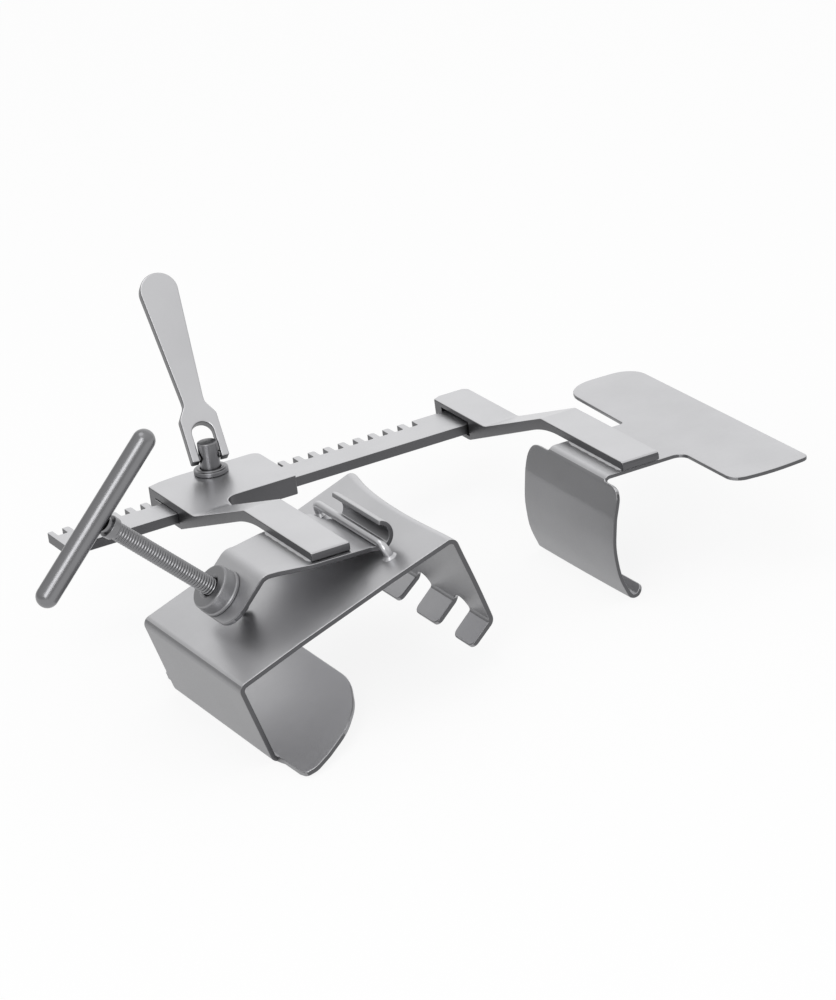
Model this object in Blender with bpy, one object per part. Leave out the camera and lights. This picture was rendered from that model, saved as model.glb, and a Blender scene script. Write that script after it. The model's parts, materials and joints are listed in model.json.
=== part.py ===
"""Rib spreader with a swinging lift frame, modelled piece by piece.

Sizes are in millimetres in the rack's own frame: X runs along the rack, Y is positive behind it
(the toothed side) and the arms reach to minus Y, Z is up and 0 on the rack's top face.
The whole instrument is then scaled to metres and leaned over a little, so that it stands on the
foot of the lift frame and the lip of the blade, as it does on a table.
"""
import math

import bmesh
import bpy
import numpy as np
from mathutils import Vector
from mathutils.geometry import delaunay_2d_cdt

for old in list(bpy.data.objects):
    bpy.data.objects.remove(old, do_unlink=True)

# Fits between pieces
RUN = 0.3             # gap round a piece that slides or turns in another
SEAT = 0.15           # half the gap between two pieces that are fixed to each other

# Toothed rack
PITCH = 7.0           # one tooth to the next
TEETH = 24            # flanks along the back edge
RACK_DEEP = 21.06     # front edge to tooth tips
ROOT_Y = 15.0         # floor of the gullets
TOOTH_W = 3.1
FIRST_FLANK = 6.66    # left flank of the first whole tooth
END_POST = 2.5        # short post at the free end
RACK_THICK = 4.32
RACK_END = 198.0      # end inside the fixed head

# Arms
ARM_W = 16.66
MOVE_X = 49.1         # left side of the moving arm
FIX_X = 182.66        # left side of the fixed arm
HEAD_TOP = 3.55
HEAD_LOW = -6.9
BACK_Y = 30.4         # back of both heads
RAMP_FOOT = -16.0     # where the ramp leaves the head
RAMP_TOP = -68.3      # where the level end begins
UNDER_BACK = 3.1      # the underside's knee, behind the ramp's top
UNDER_KNEE = 65.0     # and its radius
HEAD_SHALLOW = 2.15   # the head's front stops this far above its underside
LEVEL_TOP = 21.87
LEVEL_LOW = 18.25     # plane between the arm ends and the sheets under them
MOVE_END = -128.3
FIX_END = -134.8

# Slider head and its drive
HEAD_RIGHT = 100.2    # right side of the slider head
HEAD_FRONT = -6.68    # front of the head beside the arm
WINDOW_BACK = 21.6    # back wall of the rack's window
PIN_X, PIN_Y = 75.9, 23.2      # axis of the pinion
PIN_TEETH = 3
PIN_TIP = 5.6
PIN_R = 1.5           # cross pin that carries the lever
SHAFT_R = 4.2
SHAFT_TOP = 17.0
BUSH_R = 7.2
BUSH_RISE = 2.4
PIVOT_Z = 10.7        # lever pin above the rack's top
LEVER_TURN = -9.0     # degrees the lever pin is turned from X
LEVER_LEAN = 38.0     # degrees the lever leans back
LEVER_T = 5.2
FORK_HALF = 8.0       # half the lever's width at its fork
WINDOW_HALF = 4.6     # and of the slot in it, which clears the shaft
NECK_HALF = 4.5
TOP_R = 8.0
TOP_AT = 73.6

# Formed sheets
SHEET = 2.0           # lift frame and strap
BLADE_T = 1.6
STRAP_BEND = 29.4     # where the strap's tab turns down
STRAP_HOOK = 80.5     # outside of its rolled hook
HOOK_R = 4.1
STRAP_FRONT, STRAP_REAR = -132.4, -91.4       # its hook end
STRAP_EAR = -80.5     # rear corner beside the arm
TAB_DROP = 45.6       # degrees
TAB_LEN = 24.4
TAB_WIDE = 35.8
TAB_REAR = -89.7
TAB_ROUND = 9.5
SCREW_DOWN = 14.5     # screw hole, down the tab from its bend
SCREW_Y = -107.0
SCREW_R = 3.7
BOSS_R = 9.3
BOSS_H = 7.0
TBAR_OUT = 64.7       # T-bar's axis from the tab
TBAR_HALF = 34.4
TBAR_R = 4.5
TIP_OUT = 12.5        # screw tip beyond the tab
ROD_R = 1.7
ROD_X, ROD_Z = 75.7, 20.05     # bail rod's long axis, the lift frame's hinge
ROD_FRONT, ROD_REAR = -136.7, -77.5
ROD_BEND = 4.6
WELD_WIDE, WELD_HIGH = 1.6, 1.2
PLATE_X, PLATE_Z = 1.02, -11.11        # bend between plate and web
PLATE_LEN = 104.16    # from there to the bend above the flange
PLATE_RISE = 18.5     # degrees
WEB_LEN = 36.4        # web, and how many degrees it leans from upright
WEB_LEAN = 16.01
FOOT_LEN = 46.7
FLANGE_LEN = 41.1     # flange, and how many degrees it leans out
FLANGE_LEAN = 15.82
PRONG_LEN = 13.6
PRONG_TURN = 42.0     # degrees the prongs are turned in under the flange
FRAME_FRONT, FRAME_REAR = -152.5, -65.0
PRONG_WIDE = 15.9     # the three prongs, from front to rear, and the two slots between them
PRONG_MID, SLOT_WIDE = 18.8, 13.3
PRONG_LAST, SLOT_LAST = 21.2, 12.0
SLOT_DEEP = 4.6       # how far the slots reach into the flange
DRAWN_IN = 2.5        # hollow of the bend above the flange
WIDE_BEND = 3.5       # outside radius of the folds
PLATE_OUT = 244.6     # outer edge of the blade's plate
PLATE_WEST = 209.0    # its inner edge
PLATE_FRONT, PLATE_REAR = -173.0, -35.6
NECK_FRONT, NECK_REAR = -134.1, -89.2
NECK_END = 174.3      # where the neck turns down into the blade
BLADE_FRONT, BLADE_REAR = -145.5, -72.8
BLADE_SAG = 1.2       # how far the blade bows towards the rib
LIP_X, LIP_Z = 175.6, -32.9    # outer corner of the blade's lip
LIP_OUT, LIP_RISE = 5.8, 5.2
SEAM = 1.5            # leg of the brazed seams
SEAM_SHORT = 1.8      # they stop this far before an arm's end

# Stance: foot and lip on the ground
LEAN = math.radians(5.055)
stand = bpy.data.objects.new("stance", None)
bpy.context.scene.collection.objects.link(stand)
stand.rotation_euler = (0.0, LEAN, 0.0)
stand.scale = (0.001, 0.001, 0.001)


def steel(name, shade, rough):
    """A satin or bright steel material."""
    mat = bpy.data.materials.new(name)
    mat.use_nodes = True
    bsdf = mat.node_tree.nodes["Principled BSDF"]
    bsdf.inputs["Base Color"].default_value = (shade, shade, shade * 1.01, 1.0)
    bsdf.inputs["Metallic"].default_value = 1.0
    bsdf.inputs["Roughness"].default_value = rough
    return mat


def solid(name, verts, faces, mat, origin=(0, 0, 0), smooth=False):
    """A closed mesh with its points in the rack's frame and its origin where it is asked for."""
    mesh = bpy.data.meshes.new(name)
    at = Vector(origin)
    mesh.from_pydata([Vector(v) - at for v in verts], [], faces)
    bm = bmesh.new()
    bm.from_mesh(mesh)
    bmesh.ops.recalc_face_normals(bm, faces=bm.faces)
    bm.to_mesh(mesh)
    bm.free()
    mesh.materials.append(mat)
    obj = bpy.data.objects.new(name, mesh)
    obj.parent = stand
    obj.location = at
    bpy.context.scene.collection.objects.link(obj)
    if smooth:
        mesh.polygons.foreach_set("use_smooth", [True] * len(mesh.polygons))
        mesh.set_sharp_from_angle(angle=math.radians(34))
    return obj


def rounded(points, steps=5):
    """A polygon whose corners (x, y, radius) are turned into arcs."""
    out = []
    n = len(points)
    for i, (x, y, r) in enumerate(points):
        here = Vector((x, y))
        if r <= 0:
            out.append(here)
            continue
        a = (Vector(points[i - 1][:2]) - here).normalized()
        b = (Vector(points[(i + 1) % n][:2]) - here).normalized()
        half = a.angle(b) / 2
        reach = r / math.tan(half)
        mid = here + (a + b).normalized() * (r / math.sin(half))
        p, q = here + a * reach - mid, here + b * reach - mid
        swing = p.angle_signed(q)
        for k in range(steps + 1):
            t = -swing * k / steps
            out.append(mid + Vector((p.x * math.cos(t) - p.y * math.sin(t),
                                     p.x * math.sin(t) + p.y * math.cos(t))))
    return out


def prism(name, outline, axis, low, high, mat, origin=(0, 0, 0)):
    """A flat outline pushed along x, y or z."""
    put = {"x": lambda p, h: (h, p[0], p[1]), "y": lambda p, h: (p[0], h, p[1]),
           "z": lambda p, h: (p[0], p[1], h)}[axis]
    n = len(outline)
    verts = [put(p, h) for h in (low, high) for p in outline]
    faces = [tuple(range(n)), tuple(range(2 * n - 1, n - 1, -1))]
    faces += [(i, (i + 1) % n, n + (i + 1) % n, n + i) for i in range(n)]
    return solid(name, verts, faces, mat, origin)


def turned(name, profile, base, along, mat, sides=32, origin=(0, 0, 0)):
    """A turned solid: (radius, height) pairs from one end to the other, round a line."""
    up = Vector(along).normalized()
    side = up.cross(Vector((0, 1, 0)) if abs(up.y) < 0.9 else Vector((1, 0, 0))).normalized()
    over = up.cross(side)
    verts, faces = [], []
    for r, h in profile:
        for k in range(sides):
            t = 2 * math.pi * k / sides
            verts.append(Vector(base) + up * h + (side * math.cos(t) + over * math.sin(t)) * r)
    for j in range(len(profile) - 1):
        for k in range(sides):
            m = (k + 1) % sides
            faces.append((j * sides + k, j * sides + m, (j + 1) * sides + m, (j + 1) * sides + k))
    faces.append(tuple(range(sides)))
    faces.append(tuple(range((len(profile) - 1) * sides, len(profile) * sides)))
    return solid(name, verts, faces, mat, origin, smooth=True)


def trim(target, cutter, how="DIFFERENCE"):
    """Cuts a hidden solid out of a piece, or adds it to the piece."""
    cutter.hide_render = True
    cutter.display_type = "WIRE"
    mod = target.modifiers.new(cutter.name, "BOOLEAN")
    mod.operation = how
    mod.solver = "EXACT"
    mod.object = cutter
    return target


class Fold:
    """A sheet's path in XZ: corners (x, z, outer or inner radius), seen from its reference face."""

    def __init__(self, corners):
        self.pts = [Vector(c[:2]) for c in corners]
        self.rad = [c[2] for c in corners]
        self.at = [0.0]
        for a, b in zip(self.pts, self.pts[1:]):
            self.at.append(self.at[-1] + (b - a).length)
        self.reach = []
        for i in range(len(corners)):
            if self.rad[i] <= 0:
                self.reach.append(0.0)
                continue
            a = (self.pts[i] - self.pts[i - 1]).normalized()
            b = (self.pts[i + 1] - self.pts[i]).normalized()
            self.reach.append(self.rad[i] * math.tan(abs(a.angle_signed(b)) / 2))

    def place(self, s):
        """Point and right-hand normal of the reference face at station s."""
        for i in range(1, len(self.pts) - 1):
            off, reach = s - self.at[i], self.reach[i]
            if reach and abs(off) <= reach:
                a = (self.pts[i] - self.pts[i - 1]).normalized()
                b = (self.pts[i + 1] - self.pts[i]).normalized()
                turn = -a.angle_signed(b)
                way = 1.0 if turn > 0 else -1.0
                start = self.pts[i] - a * reach
                left = Vector((-a.y, a.x)) * way
                mid = start + left * self.rad[i]
                t = turn * (off + reach) / (2 * reach)
                v = -left * self.rad[i]
                spot = mid + Vector((v.x * math.cos(t) - v.y * math.sin(t),
                                     v.x * math.sin(t) + v.y * math.cos(t)))
                head = Vector((a.x * math.cos(t) - a.y * math.sin(t),
                               a.x * math.sin(t) + a.y * math.cos(t)))
                return spot, Vector((head.y, -head.x))
        i = max([0] + [k for k in range(len(self.pts) - 1) if self.at[k] <= s])
        a = (self.pts[i + 1] - self.pts[i]).normalized()
        return self.pts[i] + a * (s - self.at[i]), Vector((a.y, -a.x))

    def stations(self, steps):
        """Stations where the flat sheet has to be split so that its bends come out round."""
        out = []
        for at, reach, n in zip(self.at, self.reach, steps):
            if reach:
                out += [at - reach + 2 * reach * k / n for k in range(n + 1)]
        return out


def formed(name, fold, outline, steps, thick, mat, origin=(0, 0, 0), bow=None, more=()):
    """A sheet cut to a flat outline of (station, y) and then folded along the path.
    A bowed sheet is also split across, and at more stations, so that its hollow shows."""
    pts = [Vector(p) for p in outline]
    if sum(a.x * b.y - a.y * b.x for a, b in zip(pts, pts[1:] + pts[:1])) < 0:
        pts.reverse()
    low, high = min(p.y for p in pts) - 5, max(p.y for p in pts) + 5
    edge = [(i, (i + 1) % len(pts)) for i in range(len(pts))]
    ring = list(range(len(pts)))
    first, last = min(p.x for p in pts), max(p.x for p in pts)
    across = int((high - low) / 9.0) if bow else 1
    for s in fold.stations(steps) + list(more):
        if first < s < last:
            edge += [(len(pts) + k, len(pts) + k + 1) for k in range(across)]
            pts += [Vector((s, low + (high - low) * k / across)) for k in range(across + 1)]
    flat, _, tris, _, _, back = delaunay_2d_cdt(pts, edge, [ring], 0, 1e-4)
    tris = [t for t, b in zip(tris, back) if 0 in b]
    used = sorted({v for t in tris for v in t})
    new = {v: i for i, v in enumerate(used)}
    n = len(used)
    verts = []
    for depth in (0.0, thick):
        for v in used:
            spot, out = fold.place(flat[v].x)
            spot = spot - out * depth
            push = bow(flat[v].x, flat[v].y) if bow else (0.0, 0.0)
            verts.append((spot.x + push[0], flat[v].y, spot.y + push[1]))
    faces = [tuple(new[v] for v in t) for t in tris]
    rim = {}
    for t in faces:
        for a, b in zip(t, t[1:] + t[:1]):
            if (b, a) in rim:
                del rim[(b, a)]
            else:
                rim[(a, b)] = True
    faces += [tuple(v + n for v in reversed(t)) for t in faces]
    faces += [(b, a, a + n, b + n) for a, b in rim]
    return solid(name, verts, faces, mat, origin)


SATIN = steel("satin_steel", 0.60, 0.34)
POLISHED = steel("polished_steel", 0.42, 0.20)

# Rack bar, teeth along its back edge
outline = [(0.8, 0.0), (RACK_END, 0.0), (RACK_END, RACK_DEEP)]
for i in reversed(range(TEETH)):
    left = FIRST_FLANK + PITCH * i
    if i < TEETH - 1:
        right = left + TOOTH_W
        outline += [(right + 0.5, ROOT_Y), (right, ROOT_Y + 0.5), (right, RACK_DEEP - 0.9),
                    (right - 0.3, RACK_DEEP - 0.3), (right - 0.9, RACK_DEEP)]
    outline += [(left + 0.3, RACK_DEEP), (left, RACK_DEEP - 0.3), (left, ROOT_Y + 0.5),
                (left - 0.5, ROOT_Y)]
outline += [(END_POST + 0.5, ROOT_Y), (END_POST, ROOT_Y + 0.5), (END_POST, RACK_DEEP - 0.5),
            (END_POST - 0.5, RACK_DEEP), (0.8, RACK_DEEP), (0.0, RACK_DEEP - 0.8), (0.0, 0.8)]
prism("rack_bar", outline, "z", -RACK_THICK, 0.0, SATIN)


ARM_LOW = LEVEL_LOW + SEAT                    # underside of the level ends
KNEE_Y, SLOPE_Y = RAMP_TOP - UNDER_BACK, -0.8  # the underside's slope, from knee to head


def arm_side(back, end):
    """Side outline of a cranked arm: head, ramp and level end, as (y, z)."""
    return rounded([(back, HEAD_LOW, 0.6), (back, HEAD_TOP, 0.5), (RAMP_FOOT, HEAD_TOP, 14.0),
                    (RAMP_TOP, LEVEL_TOP, 6.0), (end, LEVEL_TOP, 1.2), (end, ARM_LOW, 0.3),
                    (KNEE_Y, ARM_LOW, UNDER_KNEE), (SLOPE_Y, HEAD_LOW, 8.0)], 4)


# Fixed arm, with a blind socket for the rack
SOCKET_TOP, MOUTH = 0.8, 1.5
prism("fixed_arm", arm_side(BACK_Y, FIX_END), "x", FIX_X, FIX_X + ARM_W, SATIN)
fixed = bpy.data.objects["fixed_arm"]
trim(fixed, prism("cut_rack_socket", [(-RUN, -RACK_THICK - RUN), (RACK_DEEP + RUN, -RACK_THICK - RUN),
                                      (RACK_DEEP + RUN, SOCKET_TOP), (-RUN, SOCKET_TOP)],
                  "x", FIX_X - 5, RACK_END + RUN, SATIN))
trim(fixed, prism("cut_socket_mouth", [(-RUN - MOUTH, -RACK_THICK - RUN - 0.3),
                                      (RACK_DEEP + RUN + 0.8, -RACK_THICK - RUN - 0.3),
                                      (RACK_DEEP + RUN + 0.8, SOCKET_TOP + 0.8),
                                      (-RUN - MOUTH, SOCKET_TOP + 0.8)],
                  "x", FIX_X - 5, FIX_X + MOUTH, SATIN))
corner = FIX_X + ARM_W
trim(fixed, prism("cut_head_round", [(corner + 3, BACK_Y + 3), (corner + 3, BACK_Y - 4.5),
                                     (corner, BACK_Y - 4.5), (corner - 0.4, BACK_Y - 2.6),
                                     (corner - 1.4, BACK_Y - 1.4), (corner - 2.6, BACK_Y - 0.4),
                                     (corner - 4.5, BACK_Y), (corner - 4.5, BACK_Y + 3)],
                  "z", HEAD_LOW - 5, HEAD_TOP + 5, SATIN))
trim(fixed, prism("cut_head_slant", [(FIX_X - 3, BACK_Y + 3), (FIX_X - 3, BACK_Y - 2.4),
                                     (FIX_X, BACK_Y - 2.4), (FIX_X + 4.2, BACK_Y),
                                     (FIX_X + 4.2, BACK_Y + 3)],
                  "z", HEAD_LOW - 5, HEAD_TOP + 5, SATIN))

# Moving arm: cranked arm and slider head in one forging
block = rounded([(MOVE_X, BACK_Y - 2.6, 0), (MOVE_X + 5.6, BACK_Y - 0.9, 0), (MOVE_X + 14, BACK_Y, 0),
                 (HEAD_RIGHT, BACK_Y - 0.4, 4.0), (HEAD_RIGHT, -1.2, 0), (MOVE_X, -1.2, 0)])
moving = prism("moving_arm", block, "z", HEAD_LOW, HEAD_TOP, SATIN)
side_x = MOVE_X + ARM_W
apron = rounded([(HEAD_RIGHT, 1.0, 0), (HEAD_RIGHT, HEAD_FRONT, 0.8), (side_x + 2.6, HEAD_FRONT, 5.5),
                 (side_x - 0.2, HEAD_FRONT - 14.5, 0), (side_x - 3, HEAD_FRONT - 14.5, 0),
                 (side_x - 3, 1.0, 0)])
front_piece = prism("add_head_front", apron, "z", HEAD_LOW + HEAD_SHALLOW, HEAD_TOP, SATIN)
slope = (ARM_LOW - HEAD_LOW) / (SLOPE_Y - KNEE_Y)          # nothing hangs below the arm's own underside
line = [(y, HEAD_LOW + slope * (SLOPE_Y - y)) for y in (HEAD_FRONT, HEAD_FRONT - 18)]
trim(front_piece, prism("cut_under_front", line + [(line[1][0], HEAD_LOW - 5), (line[0][0], HEAD_LOW - 5)],
                        "x", side_x - 6, HEAD_RIGHT + 3, SATIN))
trim(moving, front_piece, "UNION")
trim(moving, prism("add_arm", arm_side(BACK_Y - 6, MOVE_END), "x", MOVE_X, MOVE_X + ARM_W, SATIN), "UNION")
trim(moving, prism("cut_rack_window", [(-RUN, -RACK_THICK - RUN), (WINDOW_BACK, -RACK_THICK - RUN),
                                       (WINDOW_BACK, RUN), (-RUN, RUN)],
                   "x", MOVE_X - 5, HEAD_RIGHT + 5, SATIN))
trim(moving, turned("cut_pinion_room", [(PIN_TIP + RUN, -RACK_THICK - RUN), (PIN_TIP + RUN, RUN)],
                    (PIN_X, PIN_Y, 0), (0, 0, 1), SATIN, 48))
trim(moving, turned("cut_bush_hole", [(SHAFT_R + 1.2, RUN - 1.0), (SHAFT_R + 1.2, HEAD_TOP + 3)],
                    (PIN_X, PIN_Y, 0), (0, 0, 1), SATIN, 48))

# Flanged bush in the head's top
turned("pinion_bush", [(BUSH_R - 0.4, HEAD_TOP + RUN), (BUSH_R, HEAD_TOP + RUN + 0.4),
                       (BUSH_R, HEAD_TOP + BUSH_RISE - 0.7), (BUSH_R - 0.7, HEAD_TOP + BUSH_RISE)],
       (PIN_X, PIN_Y, 0), (0, 0, 1), POLISHED, 48)
bush = bpy.data.objects["pinion_bush"]
trim(bush, turned("add_bush_sleeve", [(SHAFT_R + 0.9, RUN + 0.2), (SHAFT_R + 0.9, HEAD_TOP + 1.2)],
                  (PIN_X, PIN_Y, 0), (0, 0, 1), POLISHED, 48), "UNION")
trim(bush, turned("cut_bush_bore", [(SHAFT_R + RUN, -2.0), (SHAFT_R + RUN, HEAD_TOP + 6)],
                  (PIN_X, PIN_Y, 0), (0, 0, 1), POLISHED, 48))


# The crank's shaft in its bush, and the pinion below it
def pinion_outline(samples=72):
    """The pinion is rolled along the rack, and whatever the rack sweeps is cut away."""
    roll = PIN_TEETH * PITCH / (2 * math.pi)
    turn = np.linspace(0, 2 * math.pi / PIN_TEETH, samples, endpoint=False)
    radius = np.linspace(0.5, PIN_TIP, 160)
    keep = np.full(samples, PIN_TIP)
    gap, round_tip = 0.22, 0.9
    for sector in range(PIN_TEETH):
        angle = turn + sector * 2 * math.pi / PIN_TEETH
        for step in range(150):
            moved = PITCH * step / 150
            swung = angle[:, None] - moved / roll
            x = moved + PITCH / 2 + radius[None, :] * np.cos(swung)
            y = PIN_Y + radius[None, :] * np.sin(swung)
            from_tooth = np.abs((x + PITCH / 2) % PITCH - PITCH / 2)
            half = TOOTH_W / 2 + gap
            over = np.clip(from_tooth - (half - round_tip), 0, round_tip)
            top = RACK_DEEP + gap - round_tip + np.sqrt(np.maximum(round_tip ** 2 - over ** 2, 0))
            floor = np.where(from_tooth < half, top, ROOT_Y + gap)
            hit = y < floor
            reach = np.where(hit.any(axis=1), radius[hit.argmax(axis=1)], PIN_TIP)
            keep = np.minimum(keep, reach)
    # turned so that it meshes where it stands at rest
    gullet = FIRST_FLANK + TOOTH_W / 2 + PITCH * 9.5
    start = -(PIN_X - gullet) / roll
    out = []
    for sector in range(PIN_TEETH):
        for t, r in zip(turn, keep):
            a = t + sector * 2 * math.pi / PIN_TEETH + start
            out.append((PIN_X + r * math.cos(a), PIN_Y + r * math.sin(a)))
    return out


shaft = turned("crank_shaft", [(SHAFT_R, RUN), (SHAFT_R, SHAFT_TOP - 0.6), (SHAFT_R - 0.6, SHAFT_TOP)],
               (PIN_X, PIN_Y, 0), (0, 0, 1), POLISHED, 40, origin=(PIN_X, PIN_Y, 0))
prism("drive_pinion", pinion_outline(), "z", -RACK_THICK, 0.0, POLISHED, origin=(PIN_X, PIN_Y, 0))

# Folding lever, its pin through the shaft
turn_p, lean = math.radians(LEVER_TURN), math.radians(LEVER_LEAN)
pin_way = Vector((math.cos(turn_p), math.sin(turn_p), 0))
lever_way = Vector((-math.sin(turn_p) * math.sin(lean), math.cos(turn_p) * math.sin(lean), math.cos(lean)))
lever_flat = pin_way.cross(lever_way)
pivot = Vector((PIN_X, PIN_Y, PIVOT_Z))


def on_lever(points, thick, name):
    verts = [pivot + pin_way * w + lever_way * l + lever_flat * d
             for d in (-thick / 2, thick / 2) for w, l in points]
    n = len(points)
    faces = [tuple(range(n)), tuple(range(2 * n - 1, n - 1, -1))]
    faces += [(i, (i + 1) % n, n + (i + 1) % n, n + i) for i in range(n)]
    return solid(name, verts, faces, SATIN, origin=pivot)


side = [(WINDOW_HALF, -2.4), (FORK_HALF - 0.6, -2.4), (FORK_HALF, -1.8), (FORK_HALF - 0.1, 16.0),
        (FORK_HALF - 0.6, 17.8), (NECK_HALF + 0.9, 21.6), (NECK_HALF, 23.6), (NECK_HALF + 0.05, 25.5)]
tip_arc = [(TOP_R * math.cos(math.radians(a)), TOP_AT + TOP_R * math.sin(math.radians(a)))
           for a in range(-4, 185, 9)]
arch = [(-WINDOW_HALF * math.cos(math.radians(a)), 9.0 + WINDOW_HALF * math.sin(math.radians(a)))
        for a in range(0, 181, 20)]
outline = side + tip_arc + [(-w, l) for w, l in reversed(side)] + arch
lever = on_lever(outline, LEVER_T, "lever_handle")
trim(lever, turned("cut_lever_hole", [(PIN_R + RUN, -12), (PIN_R + RUN, 12)], pivot, pin_way, SATIN, 20))
trim(shaft, turned("cut_shaft_hole", [(PIN_R + SEAT, -9), (PIN_R + SEAT, 9)], pivot, pin_way, POLISHED, 20))
turned("lever_pin", [(PIN_R - 0.3, -FORK_HALF + 0.1), (PIN_R, -FORK_HALF + 0.4), (PIN_R, FORK_HALF - 0.4),
                     (PIN_R - 0.3, FORK_HALF - 0.1)], pivot, pin_way, POLISHED, 20, origin=pivot)

# Strap under the moving arm, with tab and J-hook
under = LEVEL_LOW - SEAT
drop = math.radians(TAB_DROP)
tab_down = Vector((-math.cos(drop), 0, -math.sin(drop)))
strap_fold = Fold([(STRAP_HOOK - 0.91 * HOOK_R, under + 2.03 * HOOK_R, 0),
                   (STRAP_HOOK, under + 1.83 * HOOK_R, HOOK_R),
                   (STRAP_HOOK, under, HOOK_R), (STRAP_BEND, under, 6.0),
                   (STRAP_BEND + tab_down.x * TAB_LEN, under + tab_down.z * TAB_LEN, 0)])
tab = strap_fold.at[3]
tab_end = strap_fold.at[4]
flat_x = lambda x: strap_fold.at[2] + (STRAP_HOOK - x)
arm_right = MOVE_X + ARM_W
tab_front = TAB_REAR - TAB_WIDE
strap_flat = rounded([(0.0, STRAP_FRONT, 1.2), (flat_x(STRAP_HOOK - 1.5), STRAP_FRONT - 0.4, 3.0),
                      (flat_x(arm_right + 7.2), STRAP_FRONT + 1.7, 3.0),
                      (flat_x(MOVE_X), STRAP_FRONT + 2.4, 6.0),
                      (flat_x(STRAP_BEND + 6), tab_front - 0.9, 5.0), (tab + 2, tab_front - 0.2, 3.0),
                      (tab_end, tab_front, TAB_ROUND), (tab_end, TAB_REAR, TAB_ROUND),
                      (tab + 2, TAB_REAR - 0.7, 2.0), (tab - 4, TAB_REAR - 0.6, 3.0),
                      (flat_x(MOVE_X - 2.7), STRAP_EAR - 5.4, 6.0), (flat_x(arm_right + 5.2), STRAP_EAR, 3.0),
                      (flat_x(arm_right + 7.2), STRAP_REAR - 1.1, 3.5),
                      (flat_x(STRAP_HOOK - 1.5), STRAP_REAR - 2.6, 3.0), (0.0, STRAP_REAR, 1.2)], 4)
strap = formed("hinge_strap", strap_fold, strap_flat, [0, 9, 8, 6, 0], SHEET, SATIN)

screw_way = Vector((-math.sin(drop), 0, math.cos(drop)))       # out of the tab, towards the T-bar
screw_at = Vector((STRAP_BEND, SCREW_Y, under)) + tab_down * SCREW_DOWN
trim(strap, turned("cut_strap_hole", [(SCREW_R + RUN, -8), (SCREW_R + RUN, 8)],
                   screw_at, screw_way, SATIN, 32))

# Threaded boss on the tab
boss = turned("screw_boss", [(BOSS_R + 0.5, RUN), (BOSS_R + 0.5, 1.2), (BOSS_R, 1.7),
                             (BOSS_R, BOSS_H - 1.0), (BOSS_R - 1.0, BOSS_H)], screw_at, screw_way, SATIN, 48)
trim(boss, turned("cut_boss_bore", [(SCREW_R + RUN, -5), (SCREW_R + RUN, BOSS_H + 5)],
                  screw_at, screw_way, SATIN, 32))

# Thrust screw, its swivel tip, collar and T-bar
SCREW_END = TBAR_OUT - TBAR_R - RUN
turned("thrust_tip", [(1.4, -TIP_OUT), (2.6, -TIP_OUT + 1.2), (2.6, -TIP_OUT + 3.2)],
       screw_at, screw_way, POLISHED, 24, origin=screw_at)
screw = turned("thrust_screw", [(3.1, -TIP_OUT + 3.2 + RUN), (SCREW_R, -TIP_OUT + 4.2),
                                (SCREW_R, SCREW_END - 5.6), (SCREW_R - 0.5, SCREW_END - 5.2),
                                (SCREW_R - 0.5, SCREW_END)],
               screw_at, screw_way, POLISHED, 32, origin=screw_at)
collar = turned("screw_collar", [(SCREW_R + 1.1, SCREW_END - 4.6), (SCREW_R + 1.5, SCREW_END - 4.2),
                                 (SCREW_R + 1.5, SCREW_END - 1.6), (SCREW_R + 1.1, SCREW_END - 1.2)],
                screw_at, screw_way, POLISHED, 32, origin=screw_at)
trim(collar, turned("cut_collar_bore", [(SCREW_R - 0.5 + RUN, SCREW_END - 9),
                                        (SCREW_R - 0.5 + RUN, SCREW_END + 3)],
                    screw_at, screw_way, POLISHED, 32))
bar_way = Vector((0, 1, 0)).cross(screw_way)
ball = [(TBAR_R * math.sin(math.radians(a)), -TBAR_HALF - TBAR_R * math.cos(math.radians(a)))
        for a in range(10, 91, 16)]
turned("t_bar", ball + [(r, -h) for r, h in reversed(ball)], screw_at + screw_way * TBAR_OUT, bar_way,
       POLISHED, 28, origin=screw_at)

# Lift frame: plate, web, foot and three-pronged flange
hinge = (ROD_X, 0, ROD_Z)
lean_on = lambda spot, deg, length: (spot[0] + length * math.cos(math.radians(deg)),
                                     spot[1] + length * math.sin(math.radians(deg)))
plate_a = (PLATE_X, PLATE_Z)
plate_d = lean_on(plate_a, PLATE_RISE, PLATE_LEN)
foot_b = lean_on(plate_a, WEB_LEAN - 90, WEB_LEN)
hook_l = lean_on(plate_d, FLANGE_LEAN - 90, FLANGE_LEN)
plate = (Vector(plate_d) - Vector(plate_a)).normalized()
prong_end = lean_on(hook_l, PRONG_TURN + 180, PRONG_LEN)
foot_end = lean_on(foot_b, PLATE_RISE, FOOT_LEN)
frame_fold = Fold([(*prong_end, 0), (*hook_l, 4.0), (*plate_d, WIDE_BEND), (*plate_a, WIDE_BEND),
                   (*foot_b, WIDE_BEND), (*foot_end, 0)])
_, hook_s, plate_s, web_s, foot_s, _ = frame_fold.at
EAR_OUT = 22.4        # how far the foot's front ear stands out beside the web; the rear one is smaller
HOLLOW = 1.2          # the plate's front edge is cut in this much between its ends
ear = [(2.6, 0.77, 1.0), (4.0, 0.96, 2.5), (8.5, 1.0, 3.0), (16.0, 0.866, 6.0), (28.0, 0.5625, 12.0),
       (FOOT_LEN - 8.2, 0.036, 12.0), (FOOT_LEN - 0.3, -0.76, 14.0)]
neck = [(2.3, 0.205, 1.0), (0.6, 0.018, 0)]
front = [(foot_s + u, FRAME_FRONT - v * EAR_OUT, r) for u, v, r in neck[::-1] + ear]
rear = [(foot_s + u, FRAME_REAR + v * EAR_OUT * 0.78, r * 0.78) for u, v, r in ear[::-1] + neck]
prongs, at_y = [], FRAME_FRONT + 0.4
for wide, slot in ((PRONG_WIDE, SLOT_WIDE), (PRONG_MID, SLOT_LAST), (PRONG_LAST, 0.0)):
    prongs.append((at_y, at_y + wide))
    at_y += wide + slot
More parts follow.
